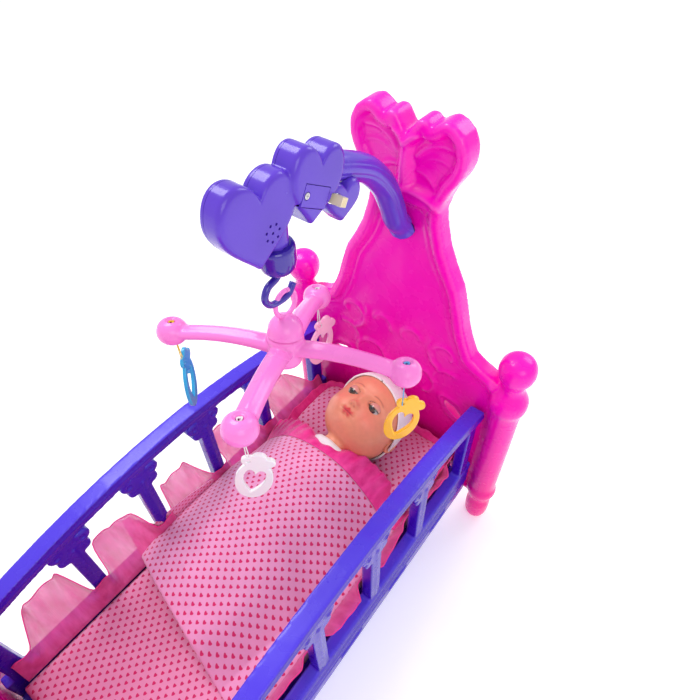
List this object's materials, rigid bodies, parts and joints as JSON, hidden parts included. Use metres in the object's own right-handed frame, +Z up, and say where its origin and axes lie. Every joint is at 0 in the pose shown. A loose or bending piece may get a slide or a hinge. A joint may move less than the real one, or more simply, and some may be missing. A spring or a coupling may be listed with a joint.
{
  "type": "interactive baby doll with musical cradle",
  "caption": "Baby doll with sleep eyes and a voice unit, lying in a slatted cradle with bedding, a heart-shaped music box on an arm and a hanging mobile.",
  "frame": {"origin": "on the floor, under the middle of the bed", "axes": "+Z up, +Y from the footboard to the headboard, +X to the side of the music box's speaker and door"},
  "size_m": [0.298, 0.502, 0.5129],
  "materials": {
    "magenta_plastic": "glossy moulded, rose magenta",
    "violet_plastic": "glossy moulded, blue violet",
    "box_plastic": "satin gloss moulded, violet",
    "pink_plastic": "satin gloss moulded, light pink",
    "cream_plastic": "satin moulded, cream",
    "dark_plastic": "matt moulded, near black",
    "white_plastic": "glossy moulded, white",
    "board_green": "solder-masked board",
    "bright_steel": "plain bright steel",
    "printed_cotton": "woven cotton, pale pink with small dark pink hearts",
    "doll_cloth": "woven cotton, pale pink",
    "white_knit": "fine knit, white with a pink cast",
    "skin_vinyl": "soft vinyl, warm skin colour with rosy cheeks",
    "eye_gloss": "clear gloss over a painted eye",
    "toy_blue_plastic": "glossy moulded, sky blue",
    "toy_white_plastic": "glossy moulded, white",
    "toy_yellow_plastic": "glossy moulded, warm yellow",
    "toy_pink_plastic": "glossy moulded, pale pink",
    "thread": "thin twisted thread"
  },
  "bodies": {
    "cradle": {"headboard": "magenta_plastic", "footboard": "magenta_plastic", "side_panel_left": "violet_plastic", "side_panel_right": "violet_plastic", "bed_base": "violet_plastic", "mattress": "printed_cotton", "pillow": "printed_cotton", "blanket": "printed_cotton", "mobile_arm": "box_plastic", "arm_screw": "bright_steel", "music_box_front": "box_plastic", "music_box_rear": "box_plastic", "switch_body": "dark_plastic", "speaker": "dark_plastic", "circuit_board": "board_green", "button_cell_1": "bright_steel", "button_cell_2": "bright_steel", "button_cell_3": "bright_steel", "cell_contact": "bright_steel", "shell_screw_1": "bright_steel", "shell_screw_2": "bright_steel", "shell_screw_3": "bright_steel", "swivel_cup": "box_plastic", "doll_torso": "doll_cloth", "doll_collar": "white_knit", "doll_arm_left": "skin_vinyl", "doll_arm_right": "skin_vinyl", "doll_leg_left": "skin_vinyl", "doll_leg_right": "skin_vinyl", "voice_shell_front": "white_plastic", "voice_shell_rear": "white_plastic", "voice_board": "board_green", "voice_speaker": "dark_plastic"},
    "battery_door": {"battery_door": "box_plastic", "door_screw": "bright_steel"},
    "switch": {"switch_knob": "cream_plastic"},
    "hook": {"hook": "box_plastic"},
    "mobile": {"mobile_cap": "pink_plastic", "mobile_cross": "pink_plastic"},
    "toy_blue": {"toy_blue": "toy_blue_plastic", "string_blue": "thread"},
    "toy_white": {"toy_white": "toy_white_plastic", "string_white": "thread"},
    "toy_yellow": {"toy_yellow": "toy_yellow_plastic", "string_yellow": "thread"},
    "toy_pink": {"toy_pink": "toy_pink_plastic", "string_pink": "thread"},
    "head": {"doll_head": "skin_vinyl", "doll_cap": "white_knit"},
    "eyes": {"eye_left": "eye_gloss", "eye_right": "eye_gloss", "eye_weight": "bright_steel"},
    "voice_button": {"voice_button": "pink_plastic"}
  },
  "joints": [
    {"name": "hook_swivel", "type": "hinge", "parent": "cradle", "child": "hook", "pos_m": [0, 0.074, 0.441], "axis": [0, 0, 1], "continuous": true},
    {"name": "mobile_sway", "type": "hinge", "parent": "hook", "child": "mobile", "pos_m": [0, 0.077, 0.406], "axis": [0, 1, 0], "range_deg": [-15, 15]},
    {"name": "toy_blue_swing", "type": "hinge", "parent": "mobile", "child": "toy_blue", "pos_m": [-0.07785, 0.02828, 0.35219], "axis": [0.4305, -0.9026, 0], "range_deg": [-25, 25]},
    {"name": "toy_white_swing", "type": "hinge", "parent": "mobile", "child": "toy_white", "pos_m": [0.04078, -0.01295, 0.37289], "axis": [0.9026, 0.4305, 0], "range_deg": [-25, 25]},
    {"name": "toy_yellow_swing", "type": "hinge", "parent": "mobile", "child": "toy_yellow", "pos_m": [0.08563, 0.10347, 0.34768], "axis": [-0.4305, 0.9026, 0], "range_deg": [-25, 25]},
    {"name": "toy_pink_swing", "type": "hinge", "parent": "mobile", "child": "toy_pink", "pos_m": [-0.033, 0.14469, 0.32698], "axis": [-0.9026, -0.4305, 0], "range_deg": [-25, 25]},
    {"name": "switch_slide", "type": "slide", "parent": "cradle", "child": "switch", "axis": [0, -0.8572, 0.515], "range_m": [0, 0.004]},
    {"name": "battery_door_lift", "type": "slide", "parent": "cradle", "child": "battery_door", "axis": [1, 0, 0], "range_m": [0, 0.03]},
    {"name": "head_turn", "type": "hinge", "parent": "cradle", "child": "head", "pos_m": [0.005, 0.169, 0.166], "axis": [0.2034, 0.9568, 0.2079], "range_deg": [-35, 35]},
    {"name": "eyes_roll", "type": "hinge", "parent": "head", "child": "eyes", "pos_m": [0.00425, 0.16546, 0.19744], "axis": [0.9781, -0.2079, 0], "range_deg": [-30, 35]},
    {"name": "voice_button_press", "type": "slide", "parent": "cradle", "child": "voice_button", "axis": [0.0181, 0.1727, -0.9848], "range_m": [0, 0.0015], "stiffness_N_per_m": 300}
  ]
}
